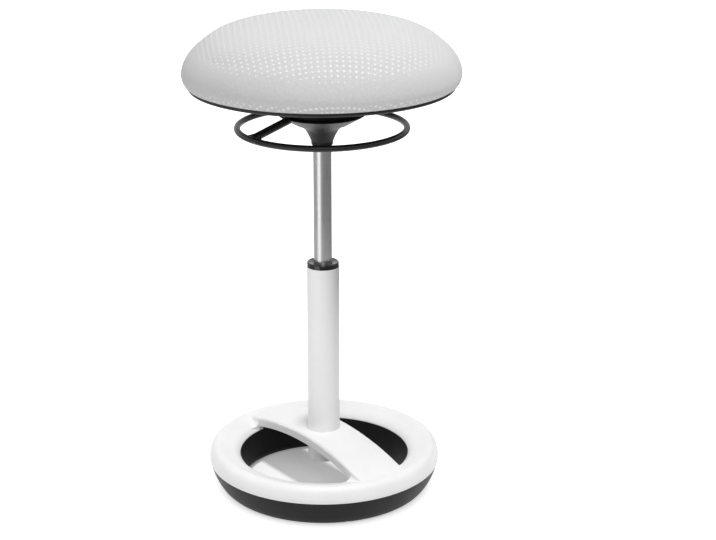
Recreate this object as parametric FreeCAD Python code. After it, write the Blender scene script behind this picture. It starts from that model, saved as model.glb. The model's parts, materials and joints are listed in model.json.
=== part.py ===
"""Perch stool: a domed fabric seat on a gas lift, a ring lever under it, and a round rocking base.

Millimetres. +Z is up, the origin is on the floor under the column's axis. The bridge of the base lies
along X, and the arm of the ring lever points along -Y. A radius is named ..._radius, a height over the
floor ..._z, and every other length by what it measures.
"""
import FreeCAD, Part
import os
from math import asin, cos, degrees, pi, sin, sqrt

os.makedirs("parts", exist_ok=True)

Vector = FreeCAD.Vector
UP = Vector(0, 0, 1)
ALONG_X = Vector(1, 0, 0)
ALONG_Y = Vector(0, 1, 0)

# Clearances that every fit below uses
running_gap = 0.06        # radial gap of a sliding or turning fit
fixed_gap = 0.02          # radial gap of a piece that is pressed, glued or bolted in place
body_gap = 0.4            # gap between moving pieces that pass or push each other

# Base ring: the white cover and the black rocker under it
ring_outer_radius = 181.0
ring_width = 48.2
seam_z = 44.5             # joint line between cover and rocker, outside
seam_inset = 0.4
lip_bottom_z = 51.8       # joint line round the opening
lip_height = 1.5
lip_rounding = 5.5
crown_inset = 10.2        # from the widest circle to the highest one
crown_height = 24.2       # from the outer joint line to the highest circle
cover_wall = 4.0
rocker_toe_inset = 7.3    # from the opening's edge to the rocker's inner lower edge
rocker_toe_z = 10.0
floor_band_width = 9.0    # flat ring that the stool stands on
floor_band_inset = 32.0   # from the widest circle to the band's outer edge
bowl_knee_inset = 14.0    # where the bowl's side would meet the floor
base_screw_count = 8
base_screw_inset = 26.2
base_screw_radius = 2.0
base_screw_head_radius = 4.0
base_screw_head_height = 2.6
base_screw_head_z = 14.0
base_screw_length = 42.0
base_boss_radius = 6.0

# Bridge across the base, and the steel brace let into its underside
bridge_half_width = 40.4
bridge_top_z = 94.5
bridge_thickness = 18.0
bridge_camber = 4.0       # how much the middle stands over the two edges
bridge_arch_radius = 505.0
bridge_edge_round = 3.0
bridge_root_spread = 1.1     # width of the blend at the bridge's ends for each millimetre of its height
bridge_root_bite = 1.2       # how deep the blend goes into the ring and the bridge
bridge_root_sections = 5
brace_half_width = 30.0
brace_thickness = 6.0
brace_reach = 146.0       # half the brace's length
brace_screw_radius = 3.0
brace_screw_head_radius = 5.5
brace_screw_length = 13.0
brace_screw_places = (62.0, 112.0)

# Column
column_radius = 25.0
column_wall = 1.8
column_bottom_z = 42.0
column_top_z = 361.0
column_end_round = 5.0
column_end_opening = 17.0     # radius of the hole in the rolled lower end
column_end_lip = 3.0
end_plate_thickness = 4.0

# Guide bushing in the column's top
bushing_depth = 71.0
bushing_collar_height = 7.4
bushing_collar_radius = 24.6
bushing_collar_round = 2.0
bushing_dish = 2.2            # how far the collar's top falls towards the bore
bushing_wall = 2.6
bushing_top_web = 12.0

# Gas lift: the cylinder moves with the seat, and the rod stands in the column
cylinder_radius = 14.0
cylinder_wall = 1.4
cylinder_bottom_z = 243.0
taper_bottom_z = 556.0
taper_length = 46.0
taper_fall = 0.027            # loss of radius for each millimetre of height
inner_cylinder_radius = 11.4
inner_cylinder_wall = 1.4
rod_guide_height = 8.0
rod_seal_height = 6.0
valve_bottom_z = 545.0
valve_flange_height = 4.0
valve_body_radius = 10.6
valve_pin_radius = 4.0
valve_pin_length = 36.0
valve_pin_dome = 1.2
valve_stroke_room = 6.0
rod_radius = 5.0
rod_foot_radius = 4.0
rod_tip_radius = 3.0
rod_head_radius = 4.5
rod_head_height = 2.0
piston_bottom_z = 284.0
piston_height = 12.0
piston_groove_depth = 2.4
piston_groove_height = 4.0

# Foot of the rod: end plate, ball thrust bearing, buffer, washer and clip
race_thickness = 1.5
race_radius = 11.5
ball_radius = 2.0
ball_circle_radius = 8.2
ball_count = 9
ball_gap = 0.05
cage_thickness = 1.2
buffer_height = 4.0
buffer_radius = 11.0
foot_washer_thickness = 0.9
foot_washer_radius = 9.0
clip_thickness = 1.2
clip_radius = 7.5
clip_groove_depth = 0.5
clip_mouth = 5.0
rod_foot_overhang = 1.4

# Hub: the black funnel that grips the taper and carries seat and lever
hub_bottom_z = 553.0
hub_neck_radius = 16.2
hub_knee_radius = 25.8
hub_knee_height = 24.0
hub_rim_radius = 66.0
hub_rim_z = 600.5
hub_rim_thickness = 2.0
hub_boss_radius = 19.0
hub_wall_radius = 56.0
hub_wall_thickness = 6.0
hub_floor_thickness = 5.5
hub_flange_radius = 70.0
hub_flange_thickness = 6.0
hub_flange_inner_radius = 44.0
hub_screw_circle_radius = 63.0
hub_screw_radius = 3.0
hub_screw_head_radius = 5.0
hub_screw_head_height = 4.0

# Ring lever
lever_ring_radius = 127.3
lever_ring_z = 579.5
lever_bar_radius = 4.8
lever_arm_radius = 6.0
lever_slope = 0.2925          # rise of the arm for each millimetre inwards
lever_web_half_width = 12.0
lever_web_length = 15.0
lever_web_thickness = 8.0
pivot_offset = 45.0           # from the column's axis to the pivot
pivot_radius = 3.0
pivot_sleeve_radius = 7.0
pivot_sleeve_half_width = 11.0
pivot_ear_thickness = 5.0
pivot_ear_half_width = 6.0
pivot_ear_height = 7.5        # over the pivot
pivot_pin_overhang = 2.6
lever_slot_half_width = 8.0
lever_slot_height = 18.0
tongue_half_width = 8.0
tongue_thickness = 4.0
tongue_reach = 6.0            # past the column's axis
tongue_seat_depth = 1.0

# Seat
seat_radius = 210.2
seat_widest_z = 663.3
seat_crown_height = 80.7      # from the widest circle to the top
seat_crown_flatness = 2.87
seat_crown_fullness = 1.91
seat_tuck_roundness = 1.71
fabric_thickness = 2.0
fabric_lap_thickness = 1.5
fabric_lap = 16.0             # how far it is folded in under the board
rim_inset = 9.8               # from the widest circle in to the rim
rim_bottom_z = 642.5
rim_height = 5.9
rim_undercut = 3.1
pan_wall = 3.0
pan_opening_radius = 104.0
pan_fall = 5.5                # how far the underside falls towards its opening
pan_screw_count = 6
pan_screw_circle_radius = 150.0
pan_screw_radius = 1.75
pan_screw_head_radius = 3.6
pan_screw_head_height = 2.2
pan_screw_bite = 9.0
pan_boss_radius = 6.0
board_inset = 12.4            # from the rim's edge to the board's
board_thickness = 12.0
plate_half_width = 75.0
plate_corner_radius = 20.0
plate_thickness = 4.0
plate_opening_radius = 38.0
seat_bolt_gap = 6.3528        # between the hub's flange and the washers
seat_bolt_radius = 4.0
seat_bolt_head_radius = 6.5
seat_bolt_head_height = 5.3
seat_bolt_socket_radius = 3.0
washer_radius = 8.5
washer_thickness = 1.6
t_nut_radius = 5.2
t_nut_flange_radius = 9.0
t_nut_flange_thickness = 1.2
t_nut_height = 10.0
staple_count = 24
staple_width = 10.0
staple_wire = 1.0
staple_leg = 5.0

# Places that follow from the sizes above
opening_radius = ring_outer_radius - ring_width
seam_radius = ring_outer_radius - seam_inset
crown_radius = ring_outer_radius - crown_inset
crown_z = seam_z + crown_height
base_screw_circle_radius = ring_outer_radius - base_screw_inset
floor_band_radius = ring_outer_radius - floor_band_inset
bridge_axis_z = bridge_top_z - bridge_arch_radius
bridge_bottom_radius = bridge_arch_radius - bridge_thickness
brace_top_radius = bridge_bottom_radius + brace_thickness
end_plate_z = column_bottom_z + column_end_lip
bearing_z = end_plate_z + end_plate_thickness
upper_race_z = bearing_z + race_thickness + 2 * (ball_radius + ball_gap)
rod_shoulder_z = upper_race_z + race_thickness
clip_z = end_plate_z - foot_washer_thickness - clip_thickness
taper_top_z = taper_bottom_z + taper_length
taper_top_radius = cylinder_radius - taper_length * taper_fall
tube_bore_radius = cylinder_radius - cylinder_wall
pivot_z = lever_ring_z + (lever_ring_radius - pivot_offset) * lever_slope - 1.3
tongue_z = pivot_z + lever_bar_radius - tongue_seat_depth
valve_pin_top_z = tongue_z - body_gap
rim_top_z = rim_bottom_z + rim_height
rim_radius = seat_radius - rim_inset
board_radius = rim_radius - board_inset
lap_z = rim_top_z + 0.1
board_z = lap_z + fabric_lap_thickness
plate_z = board_z - plate_thickness
hub_top_z = plate_z
seat_bolt_spacing = sqrt(2) * (hub_flange_radius + seat_bolt_gap + washer_radius)
seat_bolt_places = [(x, y) for x in (-seat_bolt_spacing / 2, seat_bolt_spacing / 2)
                    for y in (-seat_bolt_spacing / 2, seat_bolt_spacing / 2)]


def point(radius, z):
    """A point of a profile, in the XZ plane."""
    return Vector(radius, 0, z)


def line(start, end):
    return Part.makeLine(point(*start), point(*end))


def arc(start, middle, end):
    return Part.Arc(point(*start), point(*middle), point(*end)).toShape()


def curve(points):
    """A smooth curve through profile points."""
    spline = Part.BSplineCurve()
    spline.interpolate([point(*p) for p in points])
    return spline.toShape()


def bend(start, knee, end):
    """A curve that leaves start towards knee and reaches end from knee."""
    bezier = Part.BezierCurve()
    bezier.setPoles([point(*start), point(*knee), point(*end)])
    return bezier.toShape()


def turned(edges):
    """The solid that a closed profile of edges makes when it goes once round the Z axis."""
    face = Part.Face(Part.Wire(edges))
    solid = face.revolve(Vector(0, 0, 0), UP, 360)
    return solid if solid.Volume > 0 else solid.reversed()


def turned_polygon(corners):
    return turned([line(a, b) for a, b in zip(corners, corners[1:] + corners[:1])])


def disc(radius, bottom, top, x=0.0, y=0.0):
    return Part.makeCylinder(radius, top - bottom, Vector(x, y, bottom))


def ring(inner, outer, bottom, top, x=0.0, y=0.0):
    return disc(outer, bottom, top, x, y).cut(disc(inner, bottom - 1, top + 1, x, y))


def box(low, high):
    return Part.makeBox(high[0] - low[0], high[1] - low[1], high[2] - low[2], Vector(*low))


def rod_between(start, end, radius):
    axis = Vector(*end) - Vector(*start)
    return Part.makeCylinder(radius, axis.Length, Vector(*start), axis)


def around(shape, count, start=0.0):
    """Copies of a shape, evenly spaced about the Z axis, the first turned by start degrees."""
    copies = []
    for index in range(count):
        copy = shape.copy()
        copy.rotate(Vector(0, 0, 0), UP, start + 360.0 * index / count)
        copies.append(copy)
    return copies


def save(node, *shapes):
    """Write one node; several shapes stay separate solids of one group."""
    shape = shapes[0] if len(shapes) == 1 else Part.makeCompound(list(shapes))
    solids = shape.Solids
    broken = [solid for solid in solids if not solid.isValid()]
    assert solids and not broken, node
    shape.exportStep(f"parts/{node}.step")
    print(f"{node:22s} {len(solids):3d} solids {sum(s.Volume for s in solids) / 1000:9.2f} cm3")


# Base

def base_screw_places():
    step = 2 * pi / base_screw_count
    return [(base_screw_circle_radius * cos(step * (i + 0.5)), base_screw_circle_radius * sin(step * (i + 0.5)))
            for i in range(base_screw_count)]


def cover_outline():
    """Outside of the white ring: a steep side, a rounded shoulder and a slope down to the opening."""
    lip_top = (opening_radius, lip_bottom_z + lip_height)
    return curve([
        (seam_radius, seam_z),
        (ring_outer_radius, seam_z + 0.17 * crown_height),
        (ring_outer_radius - 0.10 * crown_inset, seam_z + 0.50 * crown_height),
        (ring_outer_radius - 0.36 * crown_inset, seam_z + 0.80 * crown_height),
        (crown_radius, crown_z),
        (crown_radius - 15.5, crown_z - 3.4),
        (opening_radius + lip_rounding, lip_top[1] + lip_rounding),
        lip_top,
    ])


def cover_section():
    lip_top = (opening_radius, lip_bottom_z + lip_height)
    return [cover_outline(),
            line(lip_top, (opening_radius, lip_bottom_z)),
            line((opening_radius, lip_bottom_z), (seam_radius, seam_z))]


def cover_top_z(radius):
    """Height of the white ring's outside over a radius between the opening and the crown."""
    upright = line((radius, lip_bottom_z), (radius, crown_z + bridge_top_z))
    return cover_outline().distToShape(upright)[1][0][0].z


def cover_cavity():
    """The hollow under the white ring."""
    inner = opening_radius + cover_wall
    outer = seam_radius - cover_wall
    return turned_polygon([
        (inner, lip_bottom_z - 5),
        (inner, lip_bottom_z + lip_height),
        (crown_radius - 8, crown_z - cover_wall - 2),
        (crown_radius, crown_z - cover_wall - 1),
        (outer, seam_z + 0.5 * crown_height),
        (outer, seam_z - 5),
    ])


def bridge_section(half_width, outer, inner, camber=0.0, rounding=0.0):
    """Cross-section of the bridge in the YZ plane, between two radii about the arch's axis."""
    top = bridge_axis_z + outer
    bottom = bridge_axis_z + inner
    edge = top - camber
    left, right = -half_width, half_width
    shoulder = half_width - rounding
    shoulder_z = edge + camber * (1 - (shoulder / half_width) ** 2)
    ease = rounding * (1 - sqrt(0.5))
    corners = [(right, edge - rounding), (right, bottom), (left, bottom), (left, edge - rounding)]
    edges = [Part.makeLine(Vector(0, *a), Vector(0, *b)) for a, b in zip(corners, corners[1:])]
    if rounding == 0:
        return edges + [Part.makeLine(Vector(0, *corners[3]), Vector(0, *corners[0]))]
    rounds = [
        (corners[3], (left + ease, edge - ease), (-shoulder, shoulder_z)),
        ((-shoulder, shoulder_z), (0, top), (shoulder, shoulder_z)),
        ((shoulder, shoulder_z), (right - ease, edge - ease), corners[0]),
    ]
    return edges + [Part.Arc(*[Vector(0, *p) for p in three]).toShape() for three in rounds]


def arched(edges, reach, radius):
    """A bridge section carried along the arch, reach millimetres to each side."""
    angle = degrees(asin(reach / radius))
    face = Part.Face(Part.Wire(edges))
    face.rotate(Vector(0, 0, bridge_axis_z), ALONG_Y, -angle)
    return face.revolve(Vector(0, 0, bridge_axis_z), ALONG_Y, 2 * angle)


def bridge_edge_z(reach):
    """Height of the bridge's side, below its rounded edge, at a distance from the middle."""
    top = bridge_axis_z + sqrt(bridge_arch_radius ** 2 - reach ** 2)
    return top - bridge_camber - bridge_edge_round


def bridge_root_end():
    """Distance from the middle at which the bridge's side has nearly sunk into the ring."""
    low, high = opening_radius, crown_radius
    for _ in range(12):
        reach = (low + high) / 2
        height = bridge_edge_z(reach) - cover_top_z(sqrt(reach ** 2 + bridge_half_width ** 2))
        low, high = (reach, high) if height > bridge_root_bite / 2 else (low, reach)
    return low


def bridge_root():
    """Concave blend between one side of the bridge and the slope of the ring, at one end."""
    start = sqrt(opening_radius ** 2 - bridge_half_width ** 2)
    end = bridge_root_end()
    sections = []
    for step in range(bridge_root_sections):
        reach = start + (end - start) * step / (bridge_root_sections - 1)
        side_top = bridge_edge_z(reach)
        side_foot = cover_top_z(sqrt(reach ** 2 + bridge_half_width ** 2) + fixed_gap)
        toe_y = bridge_half_width + bridge_root_spread * (side_top - side_foot)
        toe_z = cover_top_z(sqrt(reach ** 2 + toe_y ** 2))
        inner_y = bridge_half_width - bridge_root_bite
        top = Vector(reach, bridge_half_width - bridge_root_bite / 6, side_top)
        corner = Vector(reach, bridge_half_width, (2 * side_foot + toe_z) / 3)
        toe = Vector(reach, toe_y, toe_z - bridge_root_bite / 12)
        foot = Vector(reach, toe_y, side_foot - bridge_root_bite)
        heel = Vector(reach, inner_y, side_foot - bridge_root_bite)
        inner = Vector(reach, inner_y, side_top)
        hollow = Part.BezierCurve()
        hollow.setPoles([top, corner, toe])
        edges = [Part.makeLine(inner, top), hollow.toShape(), Part.makeLine(toe, foot),
                 Part.makeLine(foot, heel), Part.makeLine(heel, inner)]
        sections.append(Part.Wire(edges))
    return Part.makeLoft(sections, True)


def brace_screw_axes():
    """Foot point and direction of each brace screw, square to the arched underside."""
    axes = []
    for place in (-brace_screw_places[1], -brace_screw_places[0], *brace_screw_places):
        tilt = asin(place / bridge_bottom_radius)
        direction = Vector(sin(tilt), 0, cos(tilt))
        axes.append((Vector(0, 0, bridge_axis_z) + direction * bridge_bottom_radius, direction))
    return axes


def brace_screw(foot, direction, gap=0.0):
    """A countersunk screw from the brace's underside up into the bridge."""
    head = Part.makeCone(brace_screw_head_radius + gap, brace_screw_radius + gap,
                         brace_screw_head_radius - brace_screw_radius, foot, direction)
    return head.fuse(Part.makeCylinder(brace_screw_radius + gap, brace_screw_length, foot, direction))


def base_cover():
    ring_solid = turned(cover_section())
    bosses = [disc(base_boss_radius, seam_z, crown_z, x, y).common(ring_solid) for x, y in base_screw_places()]
    hollow_ring = ring_solid.cut(cover_cavity())
    bridge = arched(bridge_section(bridge_half_width, bridge_arch_radius, bridge_bottom_radius,
                                   bridge_camber, bridge_edge_round),
                    crown_radius - 9, bridge_arch_radius)
    root = bridge_root()
    roots = [root, root.mirror(Vector(0, 0, 0), ALONG_X)]
    roots += [shape.mirror(Vector(0, 0, 0), ALONG_Y) for shape in roots]
    cover = hollow_ring.fuse(bosses + [bridge] + roots)
    brace_room = arched(bridge_section(brace_half_width + 0.2, brace_top_radius, bridge_bottom_radius - 8),
                        brace_reach + 0.5, brace_top_radius)
    cuts = [brace_room, disc(column_radius + fixed_gap, 0, bridge_top_z + 10)]
    cuts += [disc(base_screw_radius, 0, base_screw_head_z + base_screw_length + 1, x, y)
             for x, y in base_screw_places()]
    cuts += [Part.makeCylinder(brace_screw_radius, brace_screw_length + 0.5, foot, direction)
             for foot, direction in brace_screw_axes()]
    save("base_cover", cover.cut(cuts).removeSplitter())


def rocker_ring():
    toe = (opening_radius - rocker_toe_inset, rocker_toe_z)
    band_inner = (floor_band_radius - floor_band_width, 0)
    band_outer = (floor_band_radius, 0)
    outside = [
        bend(band_outer, (ring_outer_radius - bowl_knee_inset, 0), (seam_radius, seam_z)),
        line((seam_radius, seam_z), (opening_radius, lip_bottom_z)),
        line((opening_radius, lip_bottom_z), toe),
        bend(toe, (toe[0] + 2.5, 0), band_inner),
        line(band_inner, band_outer),
    ]
    cuts = []
    for x, y in base_screw_places():
        cuts.append(disc(base_screw_radius + 0.3, 0, seam_z + 5, x, y))
        cuts.append(disc(base_screw_head_radius + 0.5, -1, base_screw_head_z + base_screw_head_height, x, y))
    save("rocker_ring", turned(outside).cut(cuts))


def base_screws():
    screws = []
    for x, y in base_screw_places():
        head_top = base_screw_head_z + base_screw_head_height
        head = disc(base_screw_head_radius, base_screw_head_z, head_top, x, y)
        recess = disc(1.2, base_screw_head_z - 1, base_screw_head_z + 1.2, x, y)
        shank = disc(base_screw_radius, head_top, base_screw_head_z + base_screw_length, x, y)
        screws.append(head.fuse(shank).cut(recess))
    save("base_screws", *screws)


def bridge_brace():
    bar = arched(bridge_section(brace_half_width, brace_top_radius, bridge_bottom_radius),
                 brace_reach, brace_top_radius)
    cuts = [brace_screw(foot, direction, fixed_gap) for foot, direction in brace_screw_axes()]
    cuts.append(disc(column_radius + fixed_gap, 0, bridge_top_z + 10))
    save("bridge_brace", bar.cut(cuts))


def brace_screws():
    socket = 1.8
    screws = []
    for foot, direction in brace_screw_axes():
        recess = Part.makeCylinder(socket, 2.2, foot - direction, direction)
        screws.append(brace_screw(foot, direction).cut(recess))
    save("brace_screws", *screws)


# Column and the foot of the rod

def column_tube():
    bore = column_radius - column_wall
    low = column_bottom_z
    ease = column_end_round * (1 - sqrt(0.5))
    save("column_tube", turned([
        line((column_radius, column_top_z), (column_radius, low + column_end_round)),
        arc((column_radius, low + column_end_round), (column_radius - ease, low + ease),
            (column_radius - column_end_round, low)),
        line((column_radius - column_end_round, low), (column_end_opening, low)),
        line((column_end_opening, low), (column_end_opening, end_plate_z)),
        line((column_end_opening, end_plate_z), (bore, end_plate_z)),
        line((bore, end_plate_z), (bore, column_top_z)),
        line((bore, column_top_z), (column_radius, column_top_z)),
    ]))


def tube_end_plate():
    save("tube_end_plate", ring(rod_foot_radius + running_gap, column_radius - column_wall - fixed_gap,
                                end_plate_z, bearing_z))


def guide_bushing():
    outer = column_radius - column_wall - fixed_gap
    bore = cylinder_radius + running_gap
    top = column_top_z + bushing_collar_height
    low = column_top_z - bushing_depth
    ease = bushing_collar_round * (1 - sqrt(0.5))
    collar = bushing_collar_radius
    body = turned([
        line((bore, low), (outer, low)),
        line((outer, low), (outer, column_top_z)),
        line((outer, column_top_z), (collar, column_top_z)),
        line((collar, column_top_z), (collar, top - bushing_collar_round)),
        arc((collar, top - bushing_collar_round), (collar - ease, top - ease),
            (collar - bushing_collar_round, top)),
        line((collar - bushing_collar_round, top), (bore, top - bushing_dish)),
        line((bore, top - bushing_dish), (bore, low)),
    ])
    core = ring(bore + bushing_wall, outer - bushing_wall, low - 1, column_top_z - bushing_top_web)
    web = box((bore + 1, -1.2, low), (outer - 1, 1.2, column_top_z - bushing_top_web + 1))
    save("guide_bushing", body.cut(core).fuse(around(web, 6)))


def bearing():
    low = bearing_z
    middle = low + race_thickness + ball_radius + ball_gap
    bore = rod_foot_radius + running_gap
    save("lower_race", ring(bore + 0.4, race_radius, low, low + race_thickness))
    save("upper_race", ring(bore, race_radius, upper_race_z, upper_race_z + race_thickness))
    ball = Part.makeSphere(ball_radius, Vector(ball_circle_radius, 0, middle))
    save("bearing_balls", *around(ball, ball_count))
    pocket = disc(ball_radius + 0.1, middle - 3, middle + 3, ball_circle_radius)
    cage = ring(rod_foot_radius + 0.7, race_radius - 0.2,
                middle - cage_thickness / 2, middle + cage_thickness / 2)
    save("ball_cage", cage.cut(around(pocket, ball_count)))


def rod_foot():
    buffer_top = rod_shoulder_z + buffer_height
    save("rubber_buffer", ring(rod_radius + fixed_gap, buffer_radius, rod_shoulder_z, buffer_top))
    save("foot_washer", ring(rod_foot_radius + fixed_gap, foot_washer_radius,
                             end_plate_z - foot_washer_thickness, end_plate_z - 0.05))
    groove = rod_foot_radius - clip_groove_depth + fixed_gap
    clip = ring(groove, clip_radius, clip_z, clip_z + clip_thickness)
    mouth = box((0, -clip_mouth / 2, clip_z - 1), (clip_radius + 1, clip_mouth / 2, clip_z + 3))
    save("retaining_clip", clip.cut(mouth))


# Gas lift

def piston_rod():
    foot = rod_foot_radius
    groove = foot - clip_groove_depth
    tip = piston_bottom_z + piston_height
    save("piston_rod", turned_polygon([
        (0, clip_z - rod_foot_overhang), (foot, clip_z - rod_foot_overhang), (foot, clip_z),
        (groove, clip_z), (groove, clip_z + clip_thickness), (foot, clip_z + clip_thickness),
        (foot, rod_shoulder_z), (rod_radius, rod_shoulder_z), (rod_radius, piston_bottom_z),
        (rod_tip_radius, piston_bottom_z), (rod_tip_radius, tip), (rod_head_radius, tip),
        (rod_head_radius, tip + rod_head_height), (0, tip + rod_head_height),
    ]))


def piston():
    bore = inner_cylinder_radius - inner_cylinder_wall
    outer = bore - 0.1
    groove_z = piston_bottom_z + (piston_height - piston_groove_height) / 2
    groove = ring(outer - piston_groove_depth, outer + 1, groove_z, groove_z + piston_groove_height)
    body = ring(rod_tip_radius + fixed_gap, outer, piston_bottom_z, piston_bottom_z + piston_height)
    save("piston", body.cut(groove))
    save("piston_seal", ring(outer - piston_groove_depth + fixed_gap, bore - 0.05,
                             groove_z + fixed_gap, groove_z + piston_groove_height - fixed_gap))


def pressure_tube():
    bore = tube_bore_radius
    top_bore = taper_top_radius - cylinder_wall
    save("pressure_tube", turned_polygon([
        (bore, cylinder_bottom_z), (cylinder_radius - 0.6, cylinder_bottom_z),
        (cylinder_radius, cylinder_bottom_z + 0.6), (cylinder_radius, taper_bottom_z),
        (taper_top_radius, taper_top_z), (top_bore, taper_top_z), (bore, taper_bottom_z),
    ]))


def lift_inside():
    guide_z = cylinder_bottom_z + 1
    seal_z = guide_z + rod_guide_height
    sleeve_z = seal_z + rod_seal_height
    outer = tube_bore_radius - fixed_gap
    bore = rod_radius + running_gap
    save("rod_guide", ring(bore, outer, guide_z, seal_z))
    save("rod_seal", ring(bore, outer, seal_z, sleeve_z))
    save("inner_cylinder", ring(inner_cylinder_radius - inner_cylinder_wall, inner_cylinder_radius,
                                sleeve_z, valve_bottom_z))


def valve():
    pin_bottom = valve_pin_top_z - valve_pin_length
    flange_top = valve_bottom_z + valve_flange_height
    body = disc(tube_bore_radius - fixed_gap, valve_bottom_z, flange_top)
    body = body.fuse(disc(valve_body_radius, valve_bottom_z, taper_top_z))
    pocket = disc(valve_pin_radius + running_gap, pin_bottom - valve_stroke_room, taper_top_z + 1)
    save("valve_body", body.cut(pocket))
    ball = (valve_pin_radius ** 2 + valve_pin_dome ** 2) / (2 * valve_pin_dome)
    half_turn = asin(valve_pin_radius / ball) / 2
    shoulder = (valve_pin_radius, valve_pin_top_z - valve_pin_dome)
    save("valve_pin", turned([
        line((0, pin_bottom), (valve_pin_radius, pin_bottom)),
        line((valve_pin_radius, pin_bottom), shoulder),
        arc(shoulder, (ball * sin(half_turn), valve_pin_top_z - ball * (1 - cos(half_turn))),
            (0, valve_pin_top_z)),
        line((0, valve_pin_top_z), (0, pin_bottom)),
    ]))


# Hub, lever and its pivot

def hub_cone_z(radius):
    """Height of the funnel's outside between its knee and its rim."""
    knee_z = hub_bottom_z + hub_knee_height
    return knee_z + (radius - hub_knee_radius) * (hub_rim_z - knee_z) / (hub_rim_radius - hub_knee_radius)


def hub_screw_places():
    reach = hub_screw_circle_radius * sqrt(0.5)
    return [(x, y) for x in (-reach, reach) for y in (-reach, reach)]


def seat_hub():
    knee = (hub_knee_radius, hub_bottom_z + hub_knee_height)
    rim_top = hub_rim_z + hub_rim_thickness
    flange_z = hub_top_z - hub_flange_thickness
    wall_bore = hub_wall_radius - hub_wall_thickness
    bore_foot = cylinder_radius + fixed_gap
    bore_head = taper_top_radius + fixed_gap
    funnel = turned([
        line((bore_foot, hub_bottom_z), (hub_neck_radius - 0.8, hub_bottom_z)),
        line((hub_neck_radius - 0.8, hub_bottom_z), (hub_neck_radius, hub_bottom_z + 0.8)),
        line((hub_neck_radius, hub_bottom_z + 0.8), (hub_neck_radius + 0.5, hub_bottom_z + 6)),
        bend((hub_neck_radius + 0.5, hub_bottom_z + 6), (hub_neck_radius + 4.2, knee[1] - 7.5), knee),
        bend(knee, (knee[0] + 5.5, knee[1] + 6.5), (knee[0] + 15, hub_cone_z(knee[0] + 15))),
        line((knee[0] + 15, hub_cone_z(knee[0] + 15)), (hub_rim_radius, hub_rim_z)),
        bend((hub_rim_radius, hub_rim_z), (hub_rim_radius + 0.6, rim_top), (hub_rim_radius - 2, rim_top)),
        line((hub_rim_radius - 2, rim_top), (hub_wall_radius, rim_top)),
        line((hub_wall_radius, rim_top), (hub_wall_radius, flange_z)),
        line((hub_wall_radius, flange_z), (hub_flange_radius, flange_z)),
        line((hub_flange_radius, flange_z), (hub_flange_radius, hub_top_z)),
        line((hub_flange_radius, hub_top_z), (hub_flange_inner_radius, hub_top_z)),
        line((hub_flange_inner_radius, hub_top_z), (hub_flange_inner_radius, flange_z)),
        line((hub_flange_inner_radius, flange_z), (wall_bore, flange_z - 4)),
        line((wall_bore, flange_z - 4), (wall_bore, hub_cone_z(wall_bore) + hub_floor_thickness)),
        line((wall_bore, hub_cone_z(wall_bore) + hub_floor_thickness),
             (hub_boss_radius, knee[1] + hub_floor_thickness)),
        line((hub_boss_radius, knee[1] + hub_floor_thickness), (hub_boss_radius, taper_top_z)),
        line((hub_boss_radius, taper_top_z), (bore_head, taper_top_z)),
        line((bore_head, taper_top_z), (bore_foot, taper_bottom_z)),
        line((bore_foot, taper_bottom_z), (bore_foot, hub_bottom_z)),
    ])
    inside = pivot_sleeve_half_width + body_gap
    ear_corner = sqrt((inside + pivot_ear_thickness) ** 2 + (pivot_offset + pivot_ear_half_width) ** 2)
    floor_z = hub_cone_z(ear_corner) + 0.5
    ear = box((inside, -pivot_offset - pivot_ear_half_width, floor_z),
              (inside + pivot_ear_thickness, -pivot_offset + pivot_ear_half_width, pivot_z + pivot_ear_height))
    other_ear = ear.mirror(Vector(0, 0, 0), ALONG_X)
    slot_low = pivot_z - pivot_sleeve_radius - 1.6
    slot = box((-lever_slot_half_width, -hub_rim_radius - 5, slot_low),
               (lever_slot_half_width, -pivot_offset, slot_low + lever_slot_height))
    sleeve_room = box((-inside, -pivot_offset - pivot_sleeve_radius - 1, slot_low),
                      (inside, -pivot_offset + pivot_sleeve_radius + 1, pivot_z + pivot_sleeve_radius + 1))
    pin_half = inside + pivot_ear_thickness + pivot_pin_overhang
    pin_hole = rod_between((-pin_half - 1, -pivot_offset, pivot_z), (pin_half + 1, -pivot_offset, pivot_z),
                           pivot_radius + fixed_gap)
    cuts = [slot, sleeve_room, pin_hole]
    cuts += [disc(hub_screw_radius + 0.2, flange_z - 1, hub_top_z + 1, x, y) for x, y in hub_screw_places()]
    save("seat_hub", funnel.fuse([ear, other_ear]).cut(cuts))
    save("pivot_pin", rod_between((-pin_half, -pivot_offset, pivot_z), (pin_half, -pivot_offset, pivot_z),
                                  pivot_radius))


def hub_screws():
    flange_z = hub_top_z - hub_flange_thickness
    screws = []
    for x, y in hub_screw_places():
        head = disc(hub_screw_head_radius, flange_z - hub_screw_head_height, flange_z, x, y)
        socket = disc(2.4, flange_z - hub_screw_head_height - 1, flange_z - 1.5, x, y)
        shank = disc(hub_screw_radius, flange_z, plate_z + plate_thickness - 0.3, x, y)
        screws.append(head.fuse(shank).cut(socket))
    save("hub_screws", *screws)


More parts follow.
